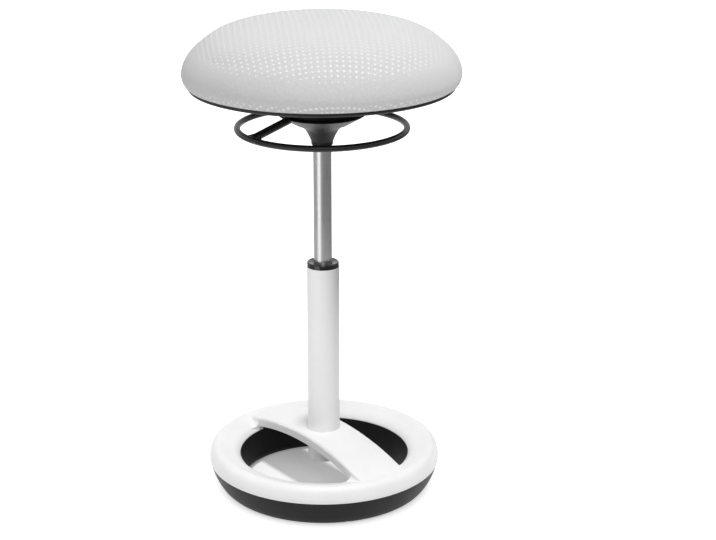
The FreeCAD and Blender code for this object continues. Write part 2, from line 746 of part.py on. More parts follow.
def lever_ring():
    hoop = Part.makeTorus(lever_ring_radius, lever_bar_radius, Vector(0, 0, lever_ring_z), UP)
    bend_y = -(lever_ring_radius - (pivot_z - lever_ring_z) / lever_slope)
    inner_y = -(hub_boss_radius + 2)
    arm = rod_between((0, -lever_ring_radius + lever_arm_radius, lever_ring_z + lever_slope * lever_arm_radius),
                      (0, bend_y, pivot_z), lever_arm_radius)
    elbow = Part.makeSphere(lever_arm_radius, Vector(0, bend_y, pivot_z))
    inner = rod_between((0, bend_y, pivot_z), (0, inner_y, pivot_z), lever_bar_radius)
    sleeve = rod_between((-pivot_sleeve_half_width, -pivot_offset, pivot_z),
                         (pivot_sleeve_half_width, -pivot_offset, pivot_z), pivot_sleeve_radius)
    web_inner_y = -(lever_ring_radius - lever_web_length)
    corners = [(-lever_web_half_width, -lever_ring_radius), (lever_web_half_width, -lever_ring_radius),
               (lever_arm_radius - 0.5, web_inner_y), (-lever_arm_radius + 0.5, web_inner_y)]
    low = lever_ring_z - lever_web_thickness / 2
    points = [Vector(x, y, low) for x, y in corners]
    web = Part.Face(Part.makePolygon(points + points[:1])).extrude(Vector(0, 0, lever_web_thickness))
    web.rotate(Vector(0, -lever_ring_radius, lever_ring_z), ALONG_X, degrees(asin(lever_slope)) * 0.8)
    tongue_bed = box((-tongue_half_width, -pivot_offset + pivot_sleeve_radius + 0.5, tongue_z),
                     (tongue_half_width, inner_y + 1, tongue_z + 5))
    pin_hole = rod_between((-2 * pivot_sleeve_half_width, -pivot_offset, pivot_z),
                           (2 * pivot_sleeve_half_width, -pivot_offset, pivot_z), pivot_radius + running_gap)
    save("lever_ring", hoop.fuse([arm, elbow, inner, sleeve, web]).cut([tongue_bed, pin_hole]))
    save("lever_tongue", box((-tongue_half_width, -pivot_offset + pivot_sleeve_radius + 0.5, tongue_z),
                             (tongue_half_width, tongue_reach, tongue_z + tongue_thickness)))


# Seat

def seat_profile(inset):
    """Points of the seat's outside, drawn in by inset, from the top round to the lower edge."""
    wide = seat_radius - inset
    high = seat_crown_height - inset
    edge_radius = rim_radius - inset
    tuck = seat_widest_z - lap_z
    points = []
    for step in range(9):
        radius = wide * sin(step / 8 * pi / 2)
        share = 1 - (radius / wide) ** seat_crown_flatness
        points.append((radius, seat_widest_z + high * max(share, 0) ** (1 / seat_crown_fullness)))
    for step in range(1, 4):
        fall = sin(step / 3 * pi / 2)
        bulge = (1 - fall ** seat_tuck_roundness) ** (1 / seat_tuck_roundness) if step < 3 else 0
        points.append((edge_radius + (wide - edge_radius) * bulge, seat_widest_z - tuck * fall))
    return points


def dome_curve(inset, bottom):
    """The seat's outline as one smooth curve, level where it crosses the axis."""
    points = seat_profile(inset)
    points[-1] = (points[-1][0], bottom)
    spline = Part.BSplineCurve()
    vectors = [point(*p) for p in points]
    spline.interpolate(Points=vectors, InitialTangent=Vector(1, 0, 0), FinalTangent=Vector(-0.8, 0, -0.6))
    return spline.toShape(), points


def seat_foam():
    dome, points = dome_curve(fabric_thickness, board_z)
    top, edge = points[0], points[-1]
    board_top = board_z + board_thickness
    bore = board_radius + fixed_gap
    save("seat_foam", turned([
        dome,
        line(edge, (bore, board_z)),
        line((bore, board_z), (bore, board_top)),
        line((bore, board_top), (0, board_top)),
        line((0, board_top), top),
    ]))


def seat_cover():
    outside, outer_points = dome_curve(0, lap_z)
    inside, inner_points = dome_curve(fabric_thickness, board_z)
    lap_edge = board_radius - fabric_lap
    save("seat_cover", turned([
        outside,
        line(outer_points[-1], (lap_edge, lap_z)),
        line((lap_edge, lap_z), (lap_edge, board_z)),
        line((lap_edge, board_z), inner_points[-1]),
        inside,
        line(inner_points[0], outer_points[0]),
    ]))


def pan_screw_places():
    step = 2 * pi / pan_screw_count
    return [(pan_screw_circle_radius * cos(step * (i + 0.5)), pan_screw_circle_radius * sin(step * (i + 0.5)))
            for i in range(pan_screw_count)]


def pan_underside_z(radius):
    outer = rim_radius - rim_undercut
    return rim_bottom_z - pan_fall * (outer - radius) / (outer - pan_opening_radius)


def seat_pan():
    outer = rim_radius - rim_undercut
    hole = pan_opening_radius
    inner_wall = hole + pan_wall
    low = rim_bottom_z - pan_fall
    body = turned([
        bend((outer, rim_bottom_z), (rim_radius - 0.4, rim_bottom_z + 0.8), (rim_radius, rim_top_z)),
        line((rim_radius, rim_top_z), (rim_radius - pan_wall, rim_top_z)),
        line((rim_radius - pan_wall, rim_top_z), (rim_radius - pan_wall, rim_bottom_z + pan_wall)),
        line((rim_radius - pan_wall, rim_bottom_z + pan_wall), (inner_wall, low + pan_wall)),
        line((inner_wall, low + pan_wall), (inner_wall, board_z)),
        line((inner_wall, board_z), (hole, board_z)),
        line((hole, board_z), (hole, low + 1)),
        line((hole, low + 1), (hole + 1, low)),
        line((hole + 1, low), (outer, rim_bottom_z)),
    ])
    floor_z = pan_underside_z(pan_screw_circle_radius)
    bosses = [disc(pan_boss_radius, floor_z + 1, board_z, x, y) for x, y in pan_screw_places()]
    cuts = []
    for x, y in pan_screw_places():
        cuts.append(disc(pan_screw_radius + 0.2, floor_z - 2, board_z + 1, x, y))
        cuts.append(disc(pan_screw_head_radius + 0.3, floor_z - 3, floor_z + pan_screw_head_height, x, y))
    save("seat_pan", body.fuse(bosses).cut(cuts))


def pan_screws():
    floor_z = pan_underside_z(pan_screw_circle_radius)
    screws = []
    for x, y in pan_screw_places():
        head_top = floor_z + pan_screw_head_height
        head = disc(pan_screw_head_radius, floor_z + 0.2, head_top, x, y)
        recess = disc(1.2, floor_z - 1, floor_z + 1.1, x, y)
        shank = disc(pan_screw_radius, head_top, board_z + pan_screw_bite, x, y)
        screws.append(head.fuse(shank).cut(recess))
    save("pan_screws", *screws)


def seat_board():
    board_top = board_z + board_thickness
    cuts = []
    for x, y in seat_bolt_places:
        cuts.append(disc(t_nut_radius + fixed_gap, board_z - 1, board_top + 1, x, y))
        cuts.append(disc(t_nut_flange_radius + 0.3, board_top - t_nut_flange_thickness, board_top + 1, x, y))
    cuts += [disc(pan_screw_radius, board_z - 1, board_z + pan_screw_bite + 0.5, x, y)
             for x, y in pan_screw_places()]
    save("seat_board", disc(board_radius, board_z, board_top).cut(cuts))


def seat_plate():
    body = box((-plate_half_width, -plate_half_width, plate_z), (plate_half_width, plate_half_width, board_z))
    upright = [edge for edge in body.Edges if abs(edge.tangentAt(edge.FirstParameter).z) > 0.9]
    body = body.makeFillet(plate_corner_radius, upright)
    cuts = [disc(plate_opening_radius, plate_z - 1, board_z + 1)]
    cuts += [disc(seat_bolt_radius + 0.4, plate_z - 1, board_z + 1, x, y) for x, y in seat_bolt_places]
    cuts += [disc(hub_screw_radius, plate_z - 1, board_z + 1, x, y) for x, y in hub_screw_places()]
    save("seat_plate", body.cut(cuts))


def seat_fasteners():
    board_top = board_z + board_thickness
    washer_low = plate_z - washer_thickness
    bolts, washers, nuts = [], [], []
    for x, y in seat_bolt_places:
        washers.append(ring(seat_bolt_radius + 0.3, washer_radius, washer_low, plate_z, x, y))
        head_low = washer_low - seat_bolt_head_height
        head = disc(seat_bolt_head_radius, head_low, washer_low, x, y)
        socket = disc(seat_bolt_socket_radius, head_low - 1, head_low + 3, x, y)
        shank = disc(seat_bolt_radius, washer_low, board_top - 1.5, x, y)
        bolts.append(head.fuse(shank).cut(socket))
        flange_z = board_top - t_nut_flange_thickness
        barrel = disc(t_nut_radius, board_top - t_nut_height, flange_z, x, y)
        flange = disc(t_nut_flange_radius, flange_z, board_top, x, y)
        thread = disc(seat_bolt_radius + fixed_gap, board_top - t_nut_height - 1, board_top + 1, x, y)
        nuts.append(barrel.fuse(flange).cut(thread))
    save("seat_bolts", *bolts)
    save("seat_washers", *washers)
    save("t_nuts", *nuts)


def cover_staples():
    """Wire staples that hold the fabric's folded edge to the underside of the board."""
    place = board_radius - fabric_lap / 2
    crown_low = lap_z - 0.6 * staple_wire
    half = staple_width / 2
    crown = box((place - staple_wire / 2, -half, crown_low), (place + staple_wire / 2, half, lap_z))
    leg = box((place - staple_wire / 2, half - 0.6, lap_z), (place + staple_wire / 2, half, lap_z + staple_leg))
    staple = crown.fuse([leg, leg.mirror(Vector(0, 0, 0), ALONG_Y)])
    save("cover_staples", *around(staple, staple_count, 180.0 / staple_count))


def main():
    base_cover()
    rocker_ring()
    base_screws()
    bridge_brace()
    brace_screws()
    column_tube()
    tube_end_plate()
    guide_bushing()
    bearing()
    rod_foot()
    piston_rod()
    piston()
    pressure_tube()
    lift_inside()
    valve()
    seat_hub()
    hub_screws()
    lever_ring()
    seat_foam()
    seat_cover()
    seat_pan()
    pan_screws()
    seat_board()
    seat_plate()
    seat_fasteners()
    cover_staples()


main()
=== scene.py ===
"""Dresses the perch stool: its finishes, the knitted cushion and the studio that it stands in.

Metres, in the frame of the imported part: +Z up, the floor at zero, the bridge of the base along X and the
arm of the ring lever along -Y. Sizes are read from the part's own nodes, and what is drawn here on top of
them has a name.
"""
import json
import logging
from dataclasses import dataclass, field
from enum import Enum
from math import cos, pi, radians, sin

import bpy
import numpy as np
from mathutils import Matrix, Vector
from mathutils.bvhtree import BVHTree


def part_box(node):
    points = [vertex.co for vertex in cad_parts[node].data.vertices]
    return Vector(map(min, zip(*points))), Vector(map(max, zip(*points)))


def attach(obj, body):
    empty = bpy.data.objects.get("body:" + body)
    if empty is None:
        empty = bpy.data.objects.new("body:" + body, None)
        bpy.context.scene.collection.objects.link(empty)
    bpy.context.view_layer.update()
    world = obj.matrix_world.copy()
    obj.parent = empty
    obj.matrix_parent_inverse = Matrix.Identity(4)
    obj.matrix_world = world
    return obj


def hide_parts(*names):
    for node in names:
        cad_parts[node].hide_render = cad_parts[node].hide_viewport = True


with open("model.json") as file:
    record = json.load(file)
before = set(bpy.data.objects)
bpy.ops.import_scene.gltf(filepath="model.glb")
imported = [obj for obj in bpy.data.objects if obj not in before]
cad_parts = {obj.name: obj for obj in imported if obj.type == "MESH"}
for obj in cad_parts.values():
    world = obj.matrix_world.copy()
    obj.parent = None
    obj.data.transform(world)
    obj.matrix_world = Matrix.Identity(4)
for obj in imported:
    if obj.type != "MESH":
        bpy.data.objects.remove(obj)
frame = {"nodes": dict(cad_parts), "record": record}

LATTICE_MAP = "lattice"
FLOOR = "studio_floor"
BASE_NODES = ("base_cover", "rocker_ring", "base_screws", "bridge_brace", "brace_screws")
COLUMN_NODES = ("column_tube", "tube_end_plate", "guide_bushing", "lower_race", "bearing_balls", "ball_cage")
BASE_AND_FLOOR = (*BASE_NODES, FLOOR)
BASE_AND_COLUMN = (*BASE_NODES, *COLUMN_NODES)

log = logging.getLogger("perch_stool")
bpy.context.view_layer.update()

Colour = tuple[float, float, float]
Socket = bpy.types.NodeSocket
Value = Socket | float


class Graph:
    """A node tree that is being wired."""

    def __init__(self, tree: bpy.types.NodeTree) -> None:
        """Take the tree that new nodes go into."""
        self.tree = tree

    def add(self, kind: str, **settings: object) -> bpy.types.Node:
        """Add a node.

        Args:
            kind: the node's type name.
            **settings: properties to set on it.

        Returns:
            The new node.
        """
        node = self.tree.nodes.new(kind)
        for name, value in settings.items():
            setattr(node, name, value)
        return node

    def feed(self, target: Socket, value: Value) -> None:
        """Give a socket a value, or link another socket to it."""
        if isinstance(value, bpy.types.NodeSocket):
            self.tree.links.new(value, target)
        else:
            target.default_value = value

    def fed(self, kind: str, inputs: dict[str | int, object], **settings: object) -> bpy.types.Node:
        """Add a node and feed its inputs.

        Args:
            kind: the node's type name.
            inputs: a value or a socket for each input, by the input's name or number.
            **settings: properties to set on it.

        Returns:
            The new node.
        """
        node = self.add(kind, **settings)
        for name, value in inputs.items():
            self.feed(node.inputs[name], value)
        return node

    def math(self, operation: str, first: Value, second: Value = 0.0) -> Socket:
        """The result of a Math node's operation on one or two numbers."""
        return self.fed("ShaderNodeMath", {0: first, 1: second}, operation=operation).outputs[0]

    def length(self, vector: Socket) -> Socket:
        """How long a vector is."""
        return self.fed("ShaderNodeVectorMath", {0: vector}, operation="LENGTH").outputs["Value"]

    def split(self, vector: Socket) -> bpy.types.NodeOutputs:
        """A vector's X, Y and Z."""
        return self.fed("ShaderNodeSeparateXYZ", {0: vector}).outputs

    def place(self) -> Socket:
        """Where a point of the surface lies."""
        return self.add("ShaderNodeTexCoord").outputs["Object"]

    def plainly_seen(self) -> Socket:
        """One where the eye, a mirror or glass sees the surface, and zero where it only gives light."""
        seen = self.add("ShaderNodeLightPath").outputs
        direct = self.math("MAXIMUM", seen["Is Camera Ray"], seen["Is Transmission Ray"])
        return self.math("MAXIMUM", direct, seen["Is Glossy Ray"])

    def remap(self, value: Value, low: Value, high: Value, start: float = 0.0, end: float = 1.0) -> Socket:
        """Stretch a value that runs from start to end, so that it runs from low to high."""
        return self.fed("ShaderNodeMapRange", {"Value": value, "From Min": start, "From Max": end,
                                               "To Min": low, "To Max": high}).outputs["Result"]

    def mix_colour(self, share: Value, first: Socket | Colour, second: Socket | Colour) -> Socket:
        """Mix two colours.

        Args:
            share: how much of the second there is, from 0 to 1.
            first: the first colour, or a socket with it.
            second: the second colour, or a socket with it.

        Returns:
            The socket with the mixed colour.
        """
        node = self.add("ShaderNodeMix", data_type="RGBA")
        self.feed(node.inputs[0], share)
        self.feed(node.inputs[6], first if isinstance(first, bpy.types.NodeSocket) else (*first, 1.0))
        self.feed(node.inputs[7], second if isinstance(second, bpy.types.NodeSocket) else (*second, 1.0))
        return node.outputs[2]

    def noise(self, vector: Socket, scale: Value, detail: float = 2.0, roughness: float = 0.5) -> Socket:
        """Smooth noise over a vector.

        Args:
            vector: where the noise is read.
            scale: how many features it has per metre.
            detail: how many finer layers it has.
            roughness: how strong the finer layers are.

        Returns:
            The socket with the noise, about 0.5 on average.
        """
        return self.fed("ShaderNodeTexNoise", {"Vector": vector, "Scale": scale, "Detail": detail,
                                               "Roughness": roughness}).outputs["Fac"]


class Effect(Enum):
    """The surface effects that several finishes share, each a shader node group."""

    GRAIN = "fine_grain"
    HANDLING = "handling_marks"
    TOOL_LINES = "tool_lines"
    KNIT = "knitted_yarn"


class EffectLibrary:
    """Builds each shared shader group once."""

    def __init__(self) -> None:
        """Start with no group built."""
        self.built: dict[Effect, bpy.types.NodeTree] = {}

    def group(self, effect: Effect) -> bpy.types.NodeTree:
        """The node group of an effect, built when it is first asked for."""
        if effect not in self.built:
            makers = {Effect.GRAIN: self.grain, Effect.HANDLING: self.handling,
                      Effect.TOOL_LINES: self.tool_lines, Effect.KNIT: self.knit}
            tree = bpy.data.node_groups.new(effect.value, "ShaderNodeTree")
            makers[effect](tree)
            self.built[effect] = tree
        return self.built[effect]

    def sockets(self, tree: bpy.types.NodeTree, inputs: dict[str, float], outputs: tuple[str, ...]) -> tuple:
        """Give a group its named sockets.

        Args:
            tree: the group.
            inputs: each number that goes in, with its usual value.
            outputs: each number that comes out.

        Returns:
            A graph on the tree, its input node and its output node.
        """
        for name, value in inputs.items():
            socket = tree.interface.new_socket(name=name, in_out="INPUT", socket_type="NodeSocketFloat")
            socket.default_value = value
        for name in outputs:
            tree.interface.new_socket(name=name, in_out="OUTPUT", socket_type="NodeSocketFloat")
        graph = Graph(tree)
        return graph, graph.add("NodeGroupInput"), graph.add("NodeGroupOutput")

    def grain(self, tree: bpy.types.NodeTree) -> None:
        """Fine texture of a moulding tool or of sprayed powder: fine pits over a soft ripple."""
        graph, given, result = self.sockets(tree, {"Scale": 2500.0, "Ripple": 0.3}, ("Height",))
        place = graph.place()
        fine = graph.noise(place, given.outputs["Scale"], 2.0, 0.6)
        broad = graph.noise(place, graph.math("MULTIPLY", given.outputs["Scale"], 0.12), 1.0)
        kept = graph.math("SUBTRACT", 1.0, given.outputs["Ripple"])
        height = graph.math("ADD", graph.math("MULTIPLY", fine, kept),
                            graph.math("MULTIPLY", broad, given.outputs["Ripple"]))
        graph.feed(result.inputs["Height"], height)

    def handling(self, tree: bpy.types.NodeTree) -> None:
        """Soft uneven gloss, as touched and wiped surfaces have it."""
        graph, given, result = self.sockets(
            tree, {"Scale": 14.0, "Roughness": 0.4, "Spread": 0.08}, ("Roughness", "Mask"))
        place = graph.place()
        cloud = graph.noise(place, given.outputs["Scale"], 3.0, 0.55)
        smear = graph.noise(place, graph.math("MULTIPLY", given.outputs["Scale"], 5.0), 2.0)
        mask = graph.math("ADD", graph.math("MULTIPLY", cloud, 0.7), graph.math("MULTIPLY", smear, 0.3))
        mask = graph.remap(mask, 0.0, 1.0, 0.32, 0.68)
        swing = graph.math("MULTIPLY", graph.math("SUBTRACT", mask, 0.5), given.outputs["Spread"])
        graph.feed(result.inputs["Roughness"], graph.math("ADD", given.outputs["Roughness"], swing))
        graph.feed(result.inputs["Mask"], mask)

    def tool_lines(self, tree: bpy.types.NodeTree) -> None:
        """Fine turned or ground lines round the vertical axis."""
        graph, given, result = self.sockets(
            tree, {"Pitch": 0.0004, "Waviness": 6.0}, ("Height", "Mask"))
        along = graph.split(graph.place())
        stretched = graph.fed("ShaderNodeCombineXYZ", {
            "X": graph.math("MULTIPLY", along["X"], given.outputs["Waviness"]),
            "Y": graph.math("MULTIPLY", along["Y"], given.outputs["Waviness"]),
            "Z": graph.math("DIVIDE", along["Z"], given.outputs["Pitch"])}).outputs[0]
        lines = graph.noise(stretched, 1.0, 3.0, 0.7)
        bands = graph.noise(stretched, 0.06, 2.0)
        graph.feed(result.inputs["Height"], lines)
        graph.feed(result.inputs["Mask"], bands)

    def knit(self, tree: bpy.types.NodeTree) -> None:
        """Knitted yarn on the cover's own lattice map: rows of small loops with open holes between them, and a
        mask of painted shade in the holes.
        """
        graph, given, result = self.sockets(
            tree, {"Loop": 0.0015, "Fray": 0.25}, ("Height", "HoleShade", "Shade"))
        place = graph.add("ShaderNodeUVMap", uv_map=LATTICE_MAP).outputs[0]
        chart = graph.split(place)
        turns = graph.math("DIVIDE", 2 * pi, given.outputs["Loop"])
        across = graph.math("MULTIPLY", chart["X"], turns)
        along = graph.math("MULTIPLY", chart["Y"], turns)
        first = graph.math("SINE", graph.math("ADD", across, along))
        second = graph.math("SINE", graph.math("SUBTRACT", across, along))
        weave = graph.math("MULTIPLY", first, second)
        uneven = graph.noise(place, graph.math("DIVIDE", 0.3, given.outputs["Loop"]), 2.0)
        frayed = graph.math("ADD", weave, graph.math("MULTIPLY", graph.math("SUBTRACT", uneven, 0.5),
                                                     given.outputs["Fray"]))
        graph.feed(result.inputs["Height"], graph.remap(frayed, 0.0, 1.0, -1.0, 1.0))
        # Painted shade mask: one in the knit's open holes, where shade falls, and zero on the loops.
        graph.feed(result.inputs["HoleShade"], graph.remap(frayed, 1.0, 0.0, -0.95, -0.35))
        graph.feed(result.inputs["Shade"], uneven)


effects = EffectLibrary()


@dataclass(frozen=True)
class Finish:
    """What every finish has: a name, a colour and how rough it is."""

    name: str
    colour: Colour
    roughness: float

    def start(self, **constants: float) -> tuple[bpy.types.Material, Graph, bpy.types.Node]:
        """Make the material with its shader.

        Args:
            **constants: values for the shader's own sockets, with _ for a blank in the name.

        Returns:
            The material, a graph on it and its Principled shader.
        """
        material = bpy.data.materials.new(self.name)
        material.use_nodes = True
        graph = Graph(material.node_tree)
        shader = material.node_tree.nodes["Principled BSDF"]
        shader.inputs["Base Color"].default_value = (*self.colour, 1.0)
        shader.inputs["Roughness"].default_value = self.roughness
        for name, value in constants.items():
            shader.inputs[name.replace("_", " ")].default_value = value
        material.diffuse_color = (*self.colour, 1.0)
        return material, graph, shader

    def effect(self, graph: Graph, effect: Effect, **values: float) -> bpy.types.Node:
        """Place a shared effect in this material.

        Args:
            graph: the material's graph.
            effect: which effect.
            **values: its inputs.

        Returns:
            The group node.
        """
        node = graph.add("ShaderNodeGroup", node_tree=effects.group(effect))
        for name, value in values.items():
            node.inputs[name].default_value = value
        return node

    def bump(self, graph: Graph, shader: bpy.types.Node, height: Socket, depth: float) -> None:
        """Roughen the surface by a height, depth metres deep."""
        node = graph.fed("ShaderNodeBump", {"Strength": 1.0, "Distance": depth, "Height": height})
        graph.feed(shader.inputs["Normal"], node.outputs["Normal"])

    def tint(self, graph: Graph, shader: bpy.types.Node, mask: Socket, change: float) -> None:
        """Let the colour drift by a share of itself, as mask goes from 0 to 1."""
        lighter = tuple(min(1.0, part * (1 + change)) for part in self.colour)
        darker = tuple(part * (1 - change) for part in self.colour)
        graph.feed(shader.inputs["Base Color"], graph.mix_colour(mask, darker, lighter))

    def material(self) -> bpy.types.Material:
        """The finished material."""
        raise NotImplementedError


@dataclass(frozen=True)
class Textured(Finish):
    """A finish with a fine even texture and a softly uneven gloss."""

    grain_per_metre: float = 2500.0
    grain_depth: float = 0.00002
    ripple: float = 0.35
    specular: float = 0.5
    spread: float = 0.08
    drift: float = 0.03

    def material(self) -> bpy.types.Material:
        """The finished material."""
        material, graph, shader = self.start(Specular_IOR_Level=self.specular)
        grain = self.effect(graph, Effect.GRAIN, Scale=self.grain_per_metre, Ripple=self.ripple)
        marks = self.effect(graph, Effect.HANDLING, Roughness=self.roughness, Spread=self.spread)
        graph.feed(shader.inputs["Roughness"], marks.outputs["Roughness"])
        self.tint(graph, shader, marks.outputs["Mask"], self.drift)
        self.bump(graph, shader, grain.outputs["Height"], self.grain_depth)
        return material


@dataclass(frozen=True)
class Moulded(Textured):
    """Injection moulded plastic or rubber with the fine texture of its tool."""


@dataclass(frozen=True)
class PowderCoat(Textured):
    """Sprayed powder on steel or on a casting, with its faint orange peel."""

    grain_per_metre: float = 900.0
    grain_depth: float = 0.00003
    ripple: float = 0.5
    spread: float = 0.06
    drift: float = 0.02


@dataclass(frozen=True)
class BareMetal(Finish):
    """Turned or ground metal with its tool lines round the axis."""

    pitch: float = 0.0004
    line_depth: float = 0.000004
    anisotropy: float = 0.0
    spread: float = 0.06
    marks_per_metre: float = 30.0
    drift: float = 0.05

    def material(self) -> bpy.types.Material:
        """The finished material."""
        material, graph, shader = self.start(Metallic=1.0, Anisotropic=self.anisotropy)
        lines = self.effect(graph, Effect.TOOL_LINES, Pitch=self.pitch)
        marks = self.effect(graph, Effect.HANDLING, Roughness=self.roughness, Spread=self.spread,
                            Scale=self.marks_per_metre)
        graph.feed(shader.inputs["Roughness"], marks.outputs["Roughness"])
        self.tint(graph, shader, lines.outputs["Mask"], self.drift)
        self.bump(graph, shader, lines.outputs["Height"], self.line_depth)
        if self.anisotropy:
            tangent = graph.add("ShaderNodeTangent", direction_type="RADIAL", axis="Z")
            graph.feed(shader.inputs["Tangent"], tangent.outputs[0])
        return material


@dataclass(frozen=True)
class Plywood(Finish):
    """Beech plywood: fine grain on the faces and dark and light plies on the edge."""

    ply: float = 0.0015
    fibre_per_metre: tuple[float, float, float] = (9.0, 160.0, 600.0)
    fibre_depth: float = 0.00005
    drift: float = 0.25

    def material(self) -> bpy.types.Material:
        """The finished material."""
        material, graph, shader = self.start()
        place = graph.place()
        stretched = graph.fed("ShaderNodeVectorMath", {0: place, 1: self.fibre_per_metre},
                              operation="MULTIPLY")
        fibre = graph.noise(stretched.outputs[0], 1.0, 4.0, 0.6)
        layer = graph.math("SINE", graph.math("MULTIPLY", graph.split(place)["Z"], pi / self.ply))
        mask = graph.math("ADD", graph.math("MULTIPLY", fibre, 0.7), graph.math("MULTIPLY", layer, 0.15))
        self.tint(graph, shader, graph.remap(mask, 0.0, 1.0, 0.15, 0.65), self.drift)
        self.bump(graph, shader, fibre, self.fibre_depth)
        return material


@dataclass(frozen=True)
class Foam(Finish):
    """Moulded polyurethane foam with open cells."""

    cells_per_metre: float = 1400.0
    cell_depth: float = 0.0003
    drift: float = 0.08

    def material(self) -> bpy.types.Material:
        """The finished material."""
        material, graph, shader = self.start(Specular_IOR_Level=0.2)
        cells = graph.fed("ShaderNodeTexVoronoi", {"Vector": graph.place(), "Scale": self.cells_per_metre})
        # Painted shade: each cell is darker in its hollow and lighter on its walls.
        self.tint(graph, shader, cells.outputs["Distance"], self.drift)
        self.bump(graph, shader, cells.outputs["Distance"], self.cell_depth)
        return material


@dataclass(frozen=True)
class KnitFabric(Finish):
    """Pale spacer knit, or the brighter yarn of its raised dots."""

    loop: float = 0.0015
    relief: float = 0.00025
    # Painted shade in the knit's holes: its colour, and how much of it shows face-on.
    painted_hole_shade_colour: Colour = (0.30, 0.30, 0.305)
    painted_hole_shade_share: float = 0.55
    slanted_colour: Colour = (0.70, 0.70, 0.705)
    facing_share: float = 0.2
    edge_share: float = 0.68
    darker: float = 0.96
    lighter: float = 1.03

    def material(self) -> bpy.types.Material:
        """The finished material, with painted shade in the knit's holes. Seen at a slant, the loops hide the
        holes, the painted shade fades and the colour evens out.
        """
        material, graph, shader = self.start(Specular_IOR_Level=0.2, Sheen_Weight=0.05, Sheen_Roughness=0.5)
        knit = self.effect(graph, Effect.KNIT, Loop=self.loop)
        view = graph.fed("ShaderNodeLayerWeight", {"Blend": 0.5})
        slant = graph.remap(view.outputs["Facing"], 0.0, 1.0, self.facing_share, self.edge_share)
        # Painted shade in the holes: darkest face-on, fading at a slant where the loops hide the holes.
        kept = graph.math("MULTIPLY", graph.math("SUBTRACT", 1.0, slant), self.painted_hole_shade_share)
        dark = graph.math("MULTIPLY", knit.outputs["HoleShade"], kept)
        base = graph.mix_colour(graph.remap(knit.outputs["Shade"], 0.0, 1.0, 0.3, 0.7),
                                tuple(part * self.darker for part in self.colour),
                                tuple(min(1.0, part * self.lighter) for part in self.colour))
        even = graph.mix_colour(slant, base, self.slanted_colour)
        graph.feed(shader.inputs["Base Color"], graph.mix_colour(dark, even, self.painted_hole_shade_colour))
        self.bump(graph, shader, knit.outputs["Height"], self.relief)
        return material


FINISHES: dict[str, Finish] = {finish.name: finish for finish in (
    Moulded("white_cover", (0.89, 0.89, 0.89), 0.42, grain_depth=0.00001, specular=0.3),
    Moulded("black_rocker", (0.008, 0.008, 0.0085), 0.5, grain_per_metre=1800.0, grain_depth=0.00004,
            specular=0.15),
    PowderCoat("white_steel", (0.88, 0.88, 0.88), 0.40, specular=0.4),
    PowderCoat("dark_steel", (0.010, 0.010, 0.0105), 0.36, specular=0.35),
    BareMetal("zinc_steel", (0.62, 0.62, 0.60), 0.34, pitch=0.0006),
    BareMetal("brushed_tube", (0.56, 0.56, 0.565), 0.30, anisotropy=0.5),
    BareMetal("bearing_steel", (0.70, 0.70, 0.71), 0.14, pitch=0.0002, line_depth=0.000001),
    BareMetal("bronze", (0.62, 0.45, 0.22), 0.35),
    Moulded("black_gloss", (0.006, 0.006, 0.0065), 0.12, grain_depth=0.000002, specular=0.6, spread=0.05),
    Moulded("black_plastic", (0.008, 0.008, 0.0085), 0.45, grain_per_metre=3000.0, grain_depth=0.00003,
            specular=0.25),
    PowderCoat("hub_casting", (0.009, 0.009, 0.0095), 0.42, grain_per_metre=1600.0, grain_depth=0.00005,
               specular=0.18),
    Moulded("seal_rubber", (0.02, 0.02, 0.02), 0.6, specular=0.3),
    BareMetal("inner_alloy", (0.70, 0.70, 0.71), 0.28),
    Plywood("plywood", (0.66, 0.50, 0.32), 0.6),
    Foam("foam", (0.86, 0.82, 0.70), 0.9),
    KnitFabric("knit_fabric", (0.68, 0.68, 0.685), 0.85, slanted_colour=(0.70, 0.70, 0.705)),
    KnitFabric("raised_knit", (0.85, 0.85, 0.855), 0.8, relief=0.00012, painted_hole_shade_share=0.1,
               slanted_colour=(0.69, 0.69, 0.695)),
)}


class Wardrobe:
    """Makes each finish once and puts it on the pieces."""

    def __init__(self) -> None:
        """Start with no material made."""
        self.made: dict[str, bpy.types.Material] = {}

    def get(self, name: str) -> bpy.types.Material:
        """The material of a finish."""
        if name not in self.made:
            self.made[name] = FINISHES[name].material()
        return self.made[name]

    def dress(self, piece: bpy.types.Object, name: str) -> None:
        """Put one finish on a whole piece."""
        piece.data.materials.clear()
        piece.data.materials.append(self.get(name))


wardrobe = Wardrobe()


def new_piece(name: str, vertices: np.ndarray, faces: list[tuple[int, ...]]) -> bpy.types.Object:
    """A smooth mesh object in the scene.

    Args:
        name: the piece's name.
        vertices: its points, one row each.
        faces: the corners of each face, counter-clockwise from outside.

    Returns:
        The object.
    """
    mesh = bpy.data.meshes.new(name)
    mesh.from_pydata(vertices.tolist(), [], faces)
    mesh.shade_smooth()
    mesh.update()
    piece = bpy.data.objects.new(name, mesh)
    bpy.context.scene.collection.objects.link(piece)
    return piece


def turned_faces(rows: int, segments: int) -> list[tuple[int, ...]]:
    """Quads between rows of points that go round the axis, for a profile that runs down and outwards.

    Args:
        rows: how many rows there are.
        segments: how many points a row has.

    Returns:
        The faces.
    """
    faces = []
    for row in range(rows - 1):
        upper, lower = row * segments, (row + 1) * segments
        for step in range(segments):
            after = (step + 1) % segments
            faces.append((upper + step, lower + step, lower + after, upper + after))
    return faces


def capped_faces(rows: int, segments: int) -> list[tuple[int, ...]]:
    """The faces of a turned shell that closes at a point above its first row and at one below its last.

    Args:
        rows: how many rows there are.
        segments: how many points a row has.

    Returns:
        The faces; the two end points are numbered after the rows, the upper one first.
    """
    upper, lower, last = rows * segments, rows * segments + 1, (rows - 1) * segments
    faces = turned_faces(rows, segments)
    for step in range(segments):
        after = (step + 1) % segments
        faces += [(upper, step, after), (lower, last + after, last + step)]
    return faces


